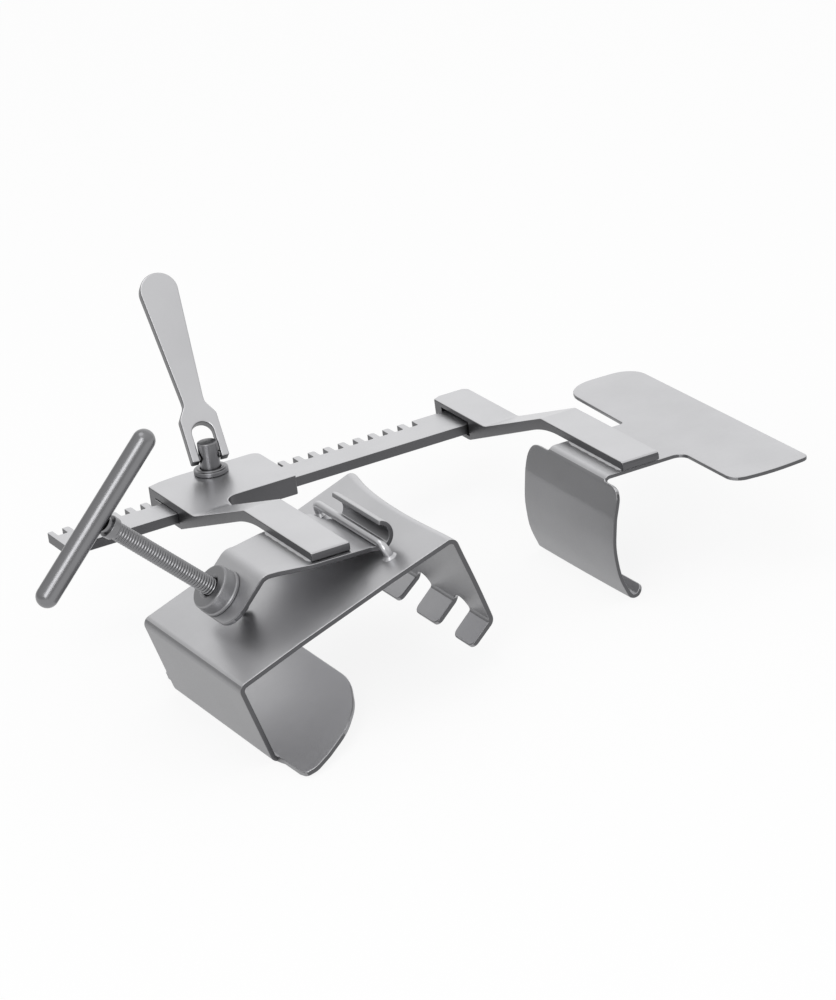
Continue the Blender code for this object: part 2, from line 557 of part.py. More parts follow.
flange = [(hook_s + 2.0, prongs[2][1], 5.0)]
for n in (2, 1, 0):
    a, b = prongs[n]
    slant = 1.8 if n == 2 else 0.3
    flange += [(0.0, b, 3.0), (0.0, a + slant, 3.0)]
    if n:
        c = prongs[n - 1][1]
        flange += [(hook_s + SLOT_DEEP, a, (a - c) * 0.49), (hook_s + SLOT_DEEP, c, (a - c) * 0.49)]
flange += [(hook_s - 2.0, FRAME_FRONT + 0.4, 6.0)]
plate_front = [(plate_s - 2, FRAME_FRONT + 0.2, 0), (plate_s + 30, FRAME_FRONT + HOLLOW, 60),
               (web_s - 30, FRAME_FRONT + HOLLOW, 60), (web_s - 2, FRAME_FRONT, 0)]
plate_rear = [(web_s + 4, FRAME_REAR, 0), (web_s - 4, FRAME_REAR - 0.4, 0),
              (plate_s + 8, FRAME_REAR + 2.0, 0), (plate_s - 3, FRAME_REAR + 2.6, 2.0)]
outline = rounded(flange + plate_front + front + rear + plate_rear, 4)


def frame_bow(s, y):
    """The bend above the flange is drawn in between its ends, and its rear end stands out a little."""
    across = (y - (FRAME_FRONT + FRAME_REAR) / 2) / ((FRAME_REAR - FRAME_FRONT) / 2)
    along = (s - plate_s) / (0.18 * PLATE_LEN)
    shift = (across ** 5 - DRAWN_IN * max(0.0, 1 - across * across)) * math.exp(-along * along)
    return shift * plate.x, shift * plate.y


formed("lift_frame", frame_fold, outline, [0, 6, 6, 6, 6, 0], SHEET, SATIN, origin=hinge, bow=frame_bow,
       more=[plate_s + off for off in (-21, -14, -8, 8, 14, 21, 30)])


# Bail rod in the J-hook, welded to the plate
def rod(name, path, radius, mat, sides=16, origin=(0, 0, 0)):
    """A round wire along a path that stays in one plane."""
    pts = [Vector(p) for p in path]
    normal = (pts[1] - pts[0]).cross(pts[-1] - pts[0]).normalized()
    verts, faces = [], []
    for i, p in enumerate(pts):
        way = (pts[min(i + 1, len(pts) - 1)] - pts[max(i - 1, 0)]).normalized()
        over = way.cross(normal).normalized()
        for k in range(sides):
            t = 2 * math.pi * k / sides
            verts.append(p + (normal * math.cos(t) + over * math.sin(t)) * radius)
    for j in range(len(pts) - 1):
        for k in range(sides):
            m = (k + 1) % sides
            faces.append((j * sides + k, j * sides + m, (j + 1) * sides + m, (j + 1) * sides + k))
    faces += [tuple(range(sides)), tuple(range((len(pts) - 1) * sides, len(pts) * sides))]
    return solid(name, verts, faces, mat, origin)


plate_up = Vector((-plate.y, 0, plate.x))
rise = (Vector(hinge) - Vector((PLATE_X, 0, PLATE_Z))).dot(plate_up)
path = []
for y, sign in ((ROD_FRONT, 1), (ROD_REAR, -1)):
    feet = [(0.0, rise - RUN)] + [(ROD_BEND - ROD_BEND * math.cos(math.radians(15 * k)),
                                   ROD_BEND - ROD_BEND * math.sin(math.radians(15 * k))) for k in range(7)]
    part = [Vector((ROD_X, y + sign * a, ROD_Z)) - plate_up * b for a, b in feet]
    path += part if sign > 0 else part[::-1]
rod("bail_rod", path, ROD_R, POLISHED, origin=hinge)
for name, y in (("bail_weld_front", ROD_FRONT), ("bail_weld_rear", ROD_REAR)):
    seat = Vector((ROD_X, y, ROD_Z)) - plate_up * rise
    weld = turned(name, [(ROD_R + WELD_WIDE, RUN), (ROD_R + WELD_WIDE - 0.3, 0.6 * WELD_HIGH),
                         (ROD_R + 0.4 * WELD_WIDE, WELD_HIGH)], seat, plate_up, SATIN, 24, origin=hinge)
    trim(weld, turned("cut_" + name, [(ROD_R + 0.2, -3), (ROD_R + 0.2, 4)], seat, plate_up, SATIN, 24))

# Blade: outer plate, neck under the arm and formed down-blade
BLADE_BACK = 4.4      # the blade's hollow, behind the neck's end
blade_x = lambda part: NECK_END - BLADE_BACK * part
blade_fold = Fold([(PLATE_OUT, under, 0), (NECK_END, under, 3.4), (blade_x(0.66), 4.0, 30.0),
                   (blade_x(1.0), -8.0, 40.0), (blade_x(0.75), -20.5, 30.0), (LIP_X, LIP_Z, 3.0),
                   (LIP_X + LIP_OUT, LIP_Z + LIP_RISE, 0)])
turn_s = blade_fold.at[1]
end_s = blade_fold.at[-1]
sx = lambda x: PLATE_OUT - x
blade_flat = rounded([(0.0, PLATE_REAR, 10.0), (sx(PLATE_WEST + 1.6), PLATE_REAR, 14.0),
                      (sx(PLATE_WEST), NECK_REAR, 1.5), (turn_s + 1.2, NECK_REAR, 1.2),
                      (turn_s + 1.5, BLADE_REAR, 9.0), (end_s, BLADE_REAR + 0.3, 4.0),
                      (end_s, BLADE_FRONT + 1.0, 4.0), (turn_s + 1.5, BLADE_FRONT, 6.0),
                      (turn_s + 1.2, NECK_FRONT, 1.2),
                      (sx(PLATE_WEST + 0.9), NECK_FRONT, 4.5), (sx(PLATE_WEST + 0.9), PLATE_FRONT, 6.0),
                      (0.0, PLATE_FRONT, 3.0)], 5)


def blade_bow(s, y):
    """The outer plate droops a little at its free edges, and the down-blade is a little barrelled."""
    if s < sx(PLATE_WEST - 1):
        out = 1 - s / sx(PLATE_WEST - 1)
        behind = max(0.0, (y - NECK_REAR) / (PLATE_REAR - NECK_REAR))
        return 0.0, -0.4 * out ** 2 - 0.2 * behind ** 2
    fade = min(1.0, max(0.0, (s - turn_s - 1) / 12.0))
    down = (s - turn_s) / (end_s - turn_s)
    back = (y - BLADE_FRONT) / (BLADE_REAR - BLADE_FRONT)
    at_rear = BLADE_SAG * min(1.0, 0.1 + 1.5 * down) * back
    at_front = 0.9 * BLADE_SAG * math.sin(math.pi * min(1.0, down)) * (1 - back)
    return -fade * (at_rear + at_front + 0.25 * BLADE_SAG * (1 - (2 * back - 1) ** 2)), 0.0


formed("blade_plate", blade_fold, blade_flat, [0, 6, 3, 3, 3, 5, 0], BLADE_T, SATIN, bow=blade_bow,
       more=[12.0, 24.0, turn_s + 5.0, turn_s + 9.0])

# Brazed seams along the joints under both arms
seam_side = [(-SEAT, 0.2), (-SEAM, 0.2), (-SEAT, SEAM + 0.1)]
strap_seams = (MOVE_END + SEAM_SHORT, STRAP_EAR - 5.5)
blade_seams = (FIX_END + SEAM_SHORT, NECK_REAR - SEAM_SHORT)
for name, x, way, (y0, y1) in (("strap_seam_left", MOVE_X, 1, strap_seams),
                               ("strap_seam_right", MOVE_X + ARM_W, -1,
                                (strap_seams[0] - 1, strap_seams[1] + 2)),
                               ("blade_seam_left", FIX_X, 1, blade_seams),
                               ("blade_seam_right", FIX_X + ARM_W, -1, blade_seams)):
    prism(name, [(x + way * a, under + b) for a, b in seam_side], "y", y0, y1, SATIN)

# Set down: lowest point at Z 0, middle at X 0 and Y 0
bpy.context.view_layer.update()
deps = bpy.context.evaluated_depsgraph_get()
points = [obj.matrix_world @ v.co for obj in bpy.context.scene.objects
          if obj.type == "MESH" and not obj.hide_render for v in obj.evaluated_get(deps).data.vertices]
low = [min(p[k] for p in points) for k in range(3)]
high = [max(p[k] for p in points) for k in range(3)]
stand.location = (-(low[0] + high[0]) / 2, -(low[1] + high[1]) / 2, -low[2])
bpy.context.view_layer.update()
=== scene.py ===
import json
import math

import bmesh
import bpy
import numpy as np
from mathutils import Matrix, Vector
from mathutils.geometry import delaunay_2d_cdt


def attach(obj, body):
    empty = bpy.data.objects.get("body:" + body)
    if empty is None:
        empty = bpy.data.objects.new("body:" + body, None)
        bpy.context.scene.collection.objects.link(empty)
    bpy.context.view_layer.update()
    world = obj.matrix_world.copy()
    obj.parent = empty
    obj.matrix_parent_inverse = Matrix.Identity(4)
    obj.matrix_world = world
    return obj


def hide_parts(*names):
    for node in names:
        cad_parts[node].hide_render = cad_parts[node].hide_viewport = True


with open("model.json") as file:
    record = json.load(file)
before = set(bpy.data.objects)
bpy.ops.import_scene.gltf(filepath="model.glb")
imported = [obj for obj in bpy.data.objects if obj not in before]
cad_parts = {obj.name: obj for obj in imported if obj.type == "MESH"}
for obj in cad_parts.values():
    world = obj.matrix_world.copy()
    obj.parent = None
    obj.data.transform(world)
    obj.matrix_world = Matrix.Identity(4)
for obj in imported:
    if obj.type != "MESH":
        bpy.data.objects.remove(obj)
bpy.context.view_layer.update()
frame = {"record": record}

# Rack bar. A flat bar of stainless steel with square teeth milled along its back edge; their tips
# are broken, so that the pinion climbs over them, and every edge is lightly rounded. Sizes here and
# below are millimetres in the rack's frame, as in the part: X along the rack, Y behind it, Z up.
LEAN = Matrix.Rotation(math.radians(5.055), 3, "Y")
PIN = np.array((75.9, 23.2, 0.0))
joint_at = {j["name"]: j["pos_m"] for j in frame["record"]["behaviour"]["joints"] if "pos_m" in j}
HOME = np.array(joint_at["pinion_spin"]) - np.array(LEAN) @ PIN / 1000


def placed(points):
    """Rack frame in millimetres to the row frame in metres: leaned about Y, then shifted."""
    return np.asarray(points, float) @ (np.array(LEAN).T / 1000) + HOME


def linear(code):
    """A hex colour as linear RGBA."""
    c = np.array([int(code[k:k + 2], 16) / 255 for k in (0, 2, 4)])
    return (*np.where(c <= 0.04045, c / 12.92, ((c + 0.055) / 1.055) ** 2.4).tolist(), 1.0)


def node(tree, kind, settings=None, inputs=None):
    """Adds a shader node with its settings; an input is a value or an output to link."""
    n = tree.nodes.new(kind)
    for key, value in (settings or {}).items():
        setattr(n, key, value)
    for key, value in (inputs or {}).items():
        if isinstance(value, bpy.types.NodeSocket):
            tree.links.new(value, n.inputs[key])
        else:
            n.inputs[key].default_value = value
    return n


def steel(name, code, rough, grain, mottling, along=(1, 1, 1)):
    """Stainless steel. Clouds about 26 mm wide are what hand polishing leaves; they shift the tone a
    little. The grit's marks are 0.1 mm wide, too fine to show, and are drawn 0.7 mm wide, in the
    roughness and as a very low bump."""
    mat = bpy.data.materials.new(name)
    mat.use_nodes = True
    tree = mat.node_tree
    bsdf = tree.nodes["Principled BSDF"]
    bsdf.inputs["Metallic"].default_value = 1.0
    where = node(tree, "ShaderNodeTexCoord").outputs["Object"]
    cloud = node(tree, "ShaderNodeTexNoise", inputs={"Vector": where, "Scale": 1000 / 26, "Detail": 3.0})
    tone = node(tree, "ShaderNodeMapRange", inputs={
        "Value": cloud.outputs["Fac"], "From Min": 0.3, "From Max": 0.7,
        "To Min": 1.0 - mottling, "To Max": 1.0 + mottling})
    colour = node(tree, "ShaderNodeVectorMath", {"operation": "SCALE"},
                  {0: linear(code)[:3], "Scale": tone.outputs[0]})
    tree.links.new(colour.outputs[0], bsdf.inputs["Base Color"])
    marks = node(tree, "ShaderNodeMapping", inputs={"Vector": where, "Scale": along})
    fine = node(tree, "ShaderNodeTexNoise",
                inputs={"Vector": marks.outputs[0], "Scale": 1000 / 0.7, "Detail": 2.0})
    polish = node(tree, "ShaderNodeMath", {"operation": "MULTIPLY_ADD"},
                  {0: fine.outputs["Fac"], 1: 0.10, 2: rough - 0.05})
    tree.links.new(polish.outputs[0], bsdf.inputs["Roughness"])
    bump = node(tree, "ShaderNodeBump",
                inputs={"Height": fine.outputs["Fac"], "Strength": grain, "Distance": 0.0002})
    tree.links.new(bump.outputs[0], bsdf.inputs["Normal"])
    return mat


# Stainless steel, satin finished on a fine belt: a soft, pale grey mirror.
SATIN = steel("satin_stainless_steel", "C8C8CA", 0.32, 0.10, 0.03)
# The same steel, coarser and darker, on side faces: the darker grey is painted shade, for the dark room
# they mirror.
SHADED_SIDES = steel("steel_sides_painted_shade", "626264", 0.38, 0.15, 0.03)


def piece(name, verts, faces, mat, body, replaced, angle=35.0, weighted=True, others=()):
    """A finished mesh in the row frame that stands for a CAD node and moves with its body. Others are
    pairs of a rule and a darker material, painted shade: rule(n) says which faces get it, from their
    normals n in the rack's frame."""
    mesh = bpy.data.meshes.new(name)
    mesh.from_pydata(placed(verts).tolist(), [], faces)
    bm = bmesh.new()
    bm.from_mesh(mesh)
    bmesh.ops.remove_doubles(bm, verts=bm.verts, dist=1e-7)
    bmesh.ops.recalc_face_normals(bm, faces=bm.faces)
    bm.to_mesh(mesh)
    bm.free()
    mesh.polygons.foreach_set("use_smooth", [True] * len(mesh.polygons))
    mesh.set_sharp_from_angle(angle=math.radians(angle))
    mesh.materials.append(mat)
    normals = np.empty(3 * len(mesh.polygons))
    mesh.polygons.foreach_get("normal", normals)
    painted_shade_index = np.zeros(len(mesh.polygons), int)
    for k, (rule, other) in enumerate(others):
        mesh.materials.append(other)
        painted_shade_index[rule(normals.reshape(-1, 3) @ np.array(LEAN))] = k + 1
    mesh.polygons.foreach_set("material_index", painted_shade_index)
    obj = bpy.data.objects.new(name, mesh)
    bpy.context.scene.collection.objects.link(obj)
    if weighted:
        obj.modifiers.new("face_weighted", "WEIGHTED_NORMAL").keep_sharp = True
    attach(obj, body)
    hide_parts(replaced)
    return obj


def rounded(points, steps=8):
    """A closed outline whose corners (x, y, radius) become arcs that touch both their sides."""
    out = []
    before, after = points[-1:] + points[:-1], points[1:] + points[:1]
    for (ax, ay, _), (x, y, r), (bx, by, _) in zip(before, points, after):
        here = np.array((x, y), float)
        if r <= 0:
            out.append(here[None])
            continue
        a, b = np.array((ax, ay)) - here, np.array((bx, by)) - here
        a, b = a / np.linalg.norm(a), b / np.linalg.norm(b)
        half = math.acos(np.clip(a @ b, -1, 1)) / 2
        mid = here + (a + b) / np.linalg.norm(a + b) * r / math.sin(half)
        p, q = here + a * r / math.tan(half) - mid, here + b * r / math.tan(half) - mid
        t = np.linspace(0, math.atan2(p[0] * q[1] - p[1] * q[0], p @ q), steps + 1)[:, None]
        out.append(mid + np.cos(t) * p + np.sin(t) * np.array((-p[1], p[0])))
    return np.concatenate(out)


def inward(ring, depth):
    """A closed ring moved to its inside: each point goes along the mean of its sides' normals."""
    ahead, back = np.roll(ring, -1, 0) - ring, ring - np.roll(ring, 1, 0)
    ahead /= np.linalg.norm(ahead, axis=1)[:, None] + 1e-12
    back /= np.linalg.norm(back, axis=1)[:, None] + 1e-12
    side = np.c_[-ahead[:, 1], ahead[:, 0]]
    mid = side + np.c_[-back[:, 1], back[:, 0]]
    mid /= np.linalg.norm(mid, axis=1)[:, None] + 1e-12
    return ring + mid * (depth / np.maximum((mid * side).sum(1), 0.5))[:, None]


def closed_rows(rows):
    """Quads between neighbouring rows of point numbers, each row closed round."""
    a = np.asarray(rows)
    quads = np.stack([a[:-1], a[1:], np.roll(a[1:], -1, 1), np.roll(a[:-1], -1, 1)], -1)
    return quads.reshape(-1, 4).tolist()


def slab(outline, thick, edge, place, splits=(), grain=4.0, arc=4):
    """A flat blank with rounded rims: the outline drawn in by edge is filled with triangles at depth 0
    and at depth thick, and the rim between them is a grid whose rows follow a quarter circle at each
    side. place(u, v, depth) turns blank coordinates into points. The blank is split across at each
    value of u in splits, so that it can bend there."""
    ring = np.asarray(outline, float)
    ahead = np.roll(ring, -1, 0)
    if np.sum(ring[:, 0] * ahead[:, 1] - ahead[:, 0] * ring[:, 1]) < 0:
        ring = ring[::-1]
    ring = ring[np.linalg.norm(ring - np.roll(ring, 1, 0), axis=1) > 1e-3]
    marks = np.full(len(ring), -1)
    if len(splits):
        cuts = np.asarray(splits, float)
        run = np.roll(ring, -1, 0) - ring
        reach = np.stack([ring[:, 0], ring[:, 0] + run[:, 0]])
        low, high = reach.min(0), reach.max(0)
        side, cut = np.nonzero((cuts > low[:, None] + 0.02) & (cuts < high[:, None] - 0.02))
        part = (cuts[cut] - ring[side, 0]) / run[side, 0]
        near = np.abs(ring[:, :1] - cuts) < 0.02
        order = np.argsort(np.r_[np.arange(len(ring)), side + part], kind="stable")
        marks = np.r_[np.where(near.any(1), near.argmax(1), -1), cut][order]
        ring = np.r_[ring, ring[side] + run[side] * part[:, None]][order]
    count = len(ring)
    inner = inward(ring, edge)
    points, chains, total = [inner], [np.c_[np.arange(count), (np.arange(count) + 1) % count]], count
    for k in range(len(splits)):
        hits = np.nonzero(marks == k)[0]
        hits = hits[np.argsort(ring[hits, 1])]
        for lo, hi in hits.reshape(-1, 2) if len(hits) % 2 == 0 else ():
            steps = max(1, int(abs(inner[hi, 1] - inner[lo, 1]) / grain))
            points.append(inner[lo] + (inner[hi] - inner[lo]) * (np.arange(1, steps) / steps)[:, None])
            ids = np.r_[lo, total + np.arange(steps - 1), hi]
            chains.append(np.c_[ids[:-1], ids[1:]])
            total += steps - 1
    flat, _, tris, from_point, _, from_face = delaunay_2d_cdt(
        [Vector(p) for p in np.concatenate(points)], np.concatenate(chains).tolist(),
        [list(range(count))], 0, 1e-5)
    tris = np.array([t for t, f in zip(tris, from_face) if f])
    flat = np.array([tuple(p) for p in flat])
    cap = len(flat)
    number = np.zeros(total, int)
    number[np.concatenate(from_point).astype(int)] = np.repeat(np.arange(cap), [len(p) for p in from_point])
    top = number[:count]
    turn = np.radians(90 * np.arange(1, arc + 1) / arc)
    levels = list(zip(edge * (1 - np.sin(turn)), edge * (1 - np.cos(turn))))
    levels += [(0.0, thick - edge)] if thick > 2 * edge + 1e-6 else []
    levels += list(zip(edge * (1 - np.cos(turn[:-1])), thick - edge * (1 - np.sin(turn[:-1]))))
    verts = [place(flat[:, 0], flat[:, 1], np.full(cap, d)) for d in (0.0, thick)]
    for inset, depth in levels:
        line = inward(ring, inset)
        verts.append(place(line[:, 0], line[:, 1], np.full(count, depth)))
    rows = [top] + [2 * cap + count * j + np.arange(count) for j in range(len(levels))] + [cap + top]
    faces = tris.tolist() + (cap + tris[:, ::-1]).tolist() + closed_rows(rows)
    return np.concatenate(verts), faces


# The teeth's pitch and width, the lines of their roots and tips, their number, and where the first
# one begins.
PITCH, TOOTH, ROOT, DEEP, TEETH, FIRST = 7.0, 3.1, 15.0, 21.06, 24, 6.66
corners = [(198.0, 0.0, 0), (198.0, DEEP, 0)]
for i in reversed(range(TEETH)):
    left = FIRST + PITCH * i
    if i < TEETH - 1:
        corners += [(left + TOOTH, ROOT, 0.6), (left + TOOTH, DEEP, 1.0)]
    corners += [(left, DEEP, 0.35), (left, ROOT, 0.6)]
corners += [(2.5, ROOT, 0.6), (2.5, DEEP, 0.4), (0.0, DEEP, 0.8), (0.0, 0.0, 0.8)]
verts, faces = slab(rounded(corners, 4), 4.32, 0.25, lambda u, v, d: np.c_[u, v, -d], arc=3)
STEEP = 0.69      # faces whose normal makes more than 46 degrees with the flat side's get painted shade
upright = lambda n: np.abs(n[:, 2]) < STEEP
# The rack's side faces and tooth flanks get the darker side material, which is painted shade.
piece("rack_bar_fine", verts, faces, SATIN, "rack_side", "rack_bar",
      others=[(upright, SHADED_SIDES)])


# Fixed arm and moving arm. Cranked forgings in the same steel: a square head, a ramp up, and a level
# end that carries the sheets. The fixed head has a blind socket for the rack; the moving one is a
# block that slides along it, hollow for the rack and the pinion.
def carved(name, solids, body, replaced):
    """Joins slabs with rounded rims and cuts plain prisms out of them, one after another. Points within
    0.002 mm of each other are merged, and faces that lie in one plane are joined."""
    made = []
    for how, outline, axis, low, high in solids:
        if axis == "x":
            place = lambda u, v, d: np.c_[low + d, u, v]
        else:
            place = lambda u, v, d: np.c_[u, v, high - d]
        if how == "DIFFERENCE":
            u, v = np.asarray(outline, float).T
            n = len(u)
            verts = np.r_[place(u, v, np.zeros(n)), place(u, v, np.full(n, high - low))]
            ids = np.arange(n)
            faces = [ids.tolist(), (2 * n - 1 - ids).tolist()] + closed_rows([ids, ids + n])
        else:
            verts, faces = slab(outline, high - low, 0.5, place)
        mesh = bpy.data.meshes.new(name)
        mesh.from_pydata(verts.tolist(), [], faces)
        bm = bmesh.new()
        bm.from_mesh(mesh)
        bmesh.ops.recalc_face_normals(bm, faces=bm.faces)
        bm.to_mesh(mesh)
        bm.free()
        obj = bpy.data.objects.new(name + "_" + how, mesh)
        bpy.context.scene.collection.objects.link(obj)
        made.append((how, obj))
    base = made[0][1]
    for how, obj in made[1:]:
        mod = base.modifiers.new("boolean", "BOOLEAN")
        mod.operation = how
        mod.solver = "EXACT"
        mod.object = obj
    bpy.context.view_layer.update()
    result = bpy.data.meshes.new_from_object(base.evaluated_get(bpy.context.evaluated_depsgraph_get()))
    for _, obj in made:
        bpy.data.objects.remove(obj, do_unlink=True)
    bm = bmesh.new()
    bm.from_mesh(result)
    bmesh.ops.remove_doubles(bm, verts=bm.verts, dist=2e-3)
    bmesh.ops.dissolve_limit(bm, angle_limit=math.radians(0.6), verts=bm.verts, edges=bm.edges)
    bm.to_mesh(result)
    bm.free()
    verts = np.empty(3 * len(result.vertices))
    result.vertices.foreach_get("co", verts)
    # The arms' steep faces get the darker side material: painted shade.
    return piece(name, verts.reshape(-1, 3), [list(p.vertices) for p in result.polygons],
                 SATIN, body, replaced, 30, others=[(upright, SHADED_SIDES)])


HEAD_LOW, HEAD_TOP, LEVEL_TOP, ARM_LOW = -6.9, 3.55, 21.87, 18.4


def arm_side(back, end):
    """Side outline of a cranked arm: head, ramp and level end."""
    return rounded([(back, HEAD_LOW, 0.6), (back, HEAD_TOP, 0.6), (-16.0, HEAD_TOP, 14.0),
                    (-68.3, LEVEL_TOP, 6.0), (end, LEVEL_TOP, 1.6), (end, ARM_LOW, 0.6),
                    (-71.4, ARM_LOW, 65.0), (-0.8, HEAD_LOW, 8.0)], 14)


def round_hole(r, n=96):
    """A circle of radius r round the crank shaft's axis."""
    t = np.linspace(0, 2 * math.pi, n, endpoint=False)
    return np.c_[PIN[0] + r * np.cos(t), PIN[1] + r * np.sin(t)]


# The arms' width and their left sides, the back of their heads, and the floor of the rack's window.
ARM, FIXED, MOVING, BACK, RACK_LOW = 16.66, 182.66, 49.1, 30.4, -4.62
corner = FIXED + ARM
t = np.radians(np.linspace(0, 90, 11))
round_off = np.r_[[(corner + 3, BACK + 3), (corner + 3, BACK - 4.5)],
                  np.c_[corner - 4.5 + 4.5 * np.cos(t), BACK - 4.5 + 4.5 * np.sin(t)],
                  [(corner - 4.5, BACK + 3)]]
slant_off = [(FIXED - 3, BACK + 3), (FIXED - 3, BACK - 2.4), (FIXED, BACK - 2.4), (FIXED + 4.2, BACK),
             (FIXED + 4.2, BACK + 3)]
carved("fixed_arm_fine", [
    ("BASE", arm_side(BACK, -134.8), "x", FIXED, corner),
    ("DIFFERENCE", [(-0.3, RACK_LOW), (21.36, RACK_LOW), (21.36, 0.8), (-0.3, 0.8)], "x",
     FIXED - 5, 198.3),
    ("DIFFERENCE", [(-1.8, -4.9), (22.2, -4.9), (22.2, 1.6), (-1.8, 1.6)], "x",
     FIXED - 5, FIXED + 1.6),
    ("DIFFERENCE", round_off, "z", HEAD_LOW - 5, HEAD_TOP + 5),
    ("DIFFERENCE", slant_off, "z", HEAD_LOW - 5, HEAD_TOP + 5)], "rack_side", "fixed_arm")

RIGHT, FRONT, SIDE = 100.2, -6.68, MOVING + ARM
OFF = 0.012       # the joined slabs keep this far out of each other's planes, so that they join cleanly
block = rounded([(MOVING + OFF, BACK - 2.6, 0.6), (MOVING + 5.6, BACK - 0.9, 3.0), (MOVING + 14, BACK, 6.0),
                 (RIGHT, BACK - 0.4, 4.0), (RIGHT, -1.2, 0), (MOVING + OFF, -1.2, 0)], 10)
apron = rounded([(RIGHT - OFF, 1.0, 0), (RIGHT - OFF, FRONT, 0.8), (SIDE + 2.6, FRONT, 5.5),
                 (SIDE - 0.2, FRONT - 14.5, 0), (SIDE - 3, FRONT - 14.5, 0), (SIDE - 3, 1.0, 0)], 10)
fall = (ARM_LOW - HEAD_LOW) / (-0.8 + 71.4)
wedge = [(y, HEAD_LOW + 2 * OFF + fall * (-0.8 - y)) for y in (FRONT + 1, FRONT - 18)]
wedge += [(FRONT - 18, HEAD_LOW - 5), (FRONT + 1, HEAD_LOW - 5)]
carved("moving_arm_fine", [
    ("BASE", apron, "z", HEAD_LOW + 2.15, HEAD_TOP - 2 * OFF),
    ("DIFFERENCE", wedge, "x", SIDE - 6, RIGHT + 3),
    ("UNION", block, "z", HEAD_LOW + OFF, HEAD_TOP - OFF),
    ("UNION", arm_side(BACK - 6, -128.3), "x", MOVING, SIDE),
    ("DIFFERENCE", [(-0.3, RACK_LOW), (21.6, RACK_LOW), (21.6, 0.3), (-0.3, 0.3)], "x",
     MOVING - 5, RIGHT + 5),
    ("DIFFERENCE", round_hole(5.9), "z", RACK_LOW - OFF, 0.3 + OFF),
    ("DIFFERENCE", round_hole(5.4), "z", -0.7, 6.5)], "slider", "moving_arm")


# Pinion bush. A ring with a flange, turned from stainless steel and polished. It is pressed into the
# head's top, and the crank shaft runs in it.
def turned_line(points, steps=5):
    """An open (radius, height) line whose inner corners (r, h, radius) become arcs."""
    out = [np.array(points[0][:2], float)[None]]
    for a, here, b in zip(points, points[1:], points[2:]):
        out.append(rounded([(*a[:2], 0), here, (*b[:2], 0)], steps)[1:-1])
    return np.concatenate(out + [np.array(points[-1][:2], float)[None]])


def revolved(profile, base, along, sides=96):
    """A profile carried round an axis: base + up*height + radius*(cos t*side + sin t*over)."""
    r, h = np.asarray(profile, float).T
    up = np.array(along, float) / np.linalg.norm(along)
    side = np.cross(up, (0, 1, 0) if abs(up[1]) < 0.9 else (1, 0, 0))
    side /= np.linalg.norm(side)
    t = np.linspace(0, 2 * math.pi, sides, endpoint=False)[None, :, None]
    round_it = np.cos(t) * side + np.sin(t) * np.cross(up, side)
    verts = np.array(base, float) + up * h[:, None, None] + r[:, None, None] * round_it
    return verts.reshape(-1, 3), closed_rows(np.arange(len(r) * sides).reshape(-1, sides))


# Stainless steel, turned and polished, but dulled by use: darker, with softer highlights.
BRIGHT = steel("polished_stainless_steel", "868688", 0.30, 0.02, 0.03)

profile = turned_line([(4.5, 0.4, 0), (4.5, 5.95, 0.3), (5.6, 5.95, 0.3), (5.9, 5.5, 0.1), (7.2, 5.5, 0.5),
                       (7.2, 3.7, 0.25), (5.1, 3.7, 0), (5.1, 0.4, 0), (4.5, 0.4, 0)])
verts, faces = revolved(profile, PIN, (0, 0, 1))
piece("pinion_bush_fine", verts, faces, BRIGHT, "slider", "pinion_bush", 50)


# Crank shaft and pinion. A turned shaft stands in the bush. Below it, sealed in the head, its three
# teeth are rolled along the rack, and all that the rack sweeps through is cut away.
def pinion_outline(samples=120, steps=150):
    """For each direction round the pinion, the largest radius that no rack tooth reaches while the
    rack rolls past by one pitch. A rack tooth is a square with its tip rounded by 0.9 mm."""
    roll, third = 3 * PITCH / (2 * math.pi), 2 * math.pi / 3
    gap, tip, largest = 0.22, 0.9, 5.6
    turn = np.linspace(0, third, samples, endpoint=False)
    radius = np.linspace(0.5, largest, 160)
    moved = (PITCH * np.arange(steps) / steps)[:, None, None, None]
    sector = (third * np.arange(3))[None, :, None, None]
    swung = turn[None, None, :, None] + sector - moved / roll
    x, y = moved + PITCH / 2 + radius * np.cos(swung), PIN[1] + radius * np.sin(swung)
    off = np.abs((x + PITCH / 2) % PITCH - PITCH / 2)
    half = TOOTH / 2 + gap
    over = np.clip(off - (half - tip), 0, tip)
    reach = DEEP + gap - tip + np.sqrt(np.maximum(tip * tip - over ** 2, 0))
    hit = y < np.where(off < half, reach, ROOT + gap)
    keep = np.where(hit.any(-1), radius[hit.argmax(-1)], largest).min((0, 1))
    start = -(PIN[0] - (FIRST + TOOTH / 2 + PITCH * 9.5)) / roll
    a = (turn[None] + third * np.arange(3)[:, None]).ravel() + start
    return np.c_[PIN[0] + np.tile(keep, 3) * np.cos(a), PIN[1] + np.tile(keep, 3) * np.sin(a)]


profile = turned_line([(0, 17.0, 0), (4.2, 17.0, 0.55), (4.2, 0.4, 0.2), (0, 0.4, 0)], 6)
verts, faces = revolved(profile, PIN, (0, 0, 1))
piece("crank_shaft_fine", verts, faces, BRIGHT, "pinion", "crank_shaft", 45)
gear, gear_low = pinion_outline(), -4.3
ids = np.arange(len(gear))
verts = np.r_[np.c_[gear, np.full(len(gear), gear_low)], np.c_[gear, np.zeros(len(gear))]]
faces = [ids.tolist(), (2 * len(ids) - 1 - ids).tolist()] + closed_rows([ids, ids + len(ids)])
piece("drive_pinion_fine", verts, faces, BRIGHT, "pinion", "drive_pinion", 45)


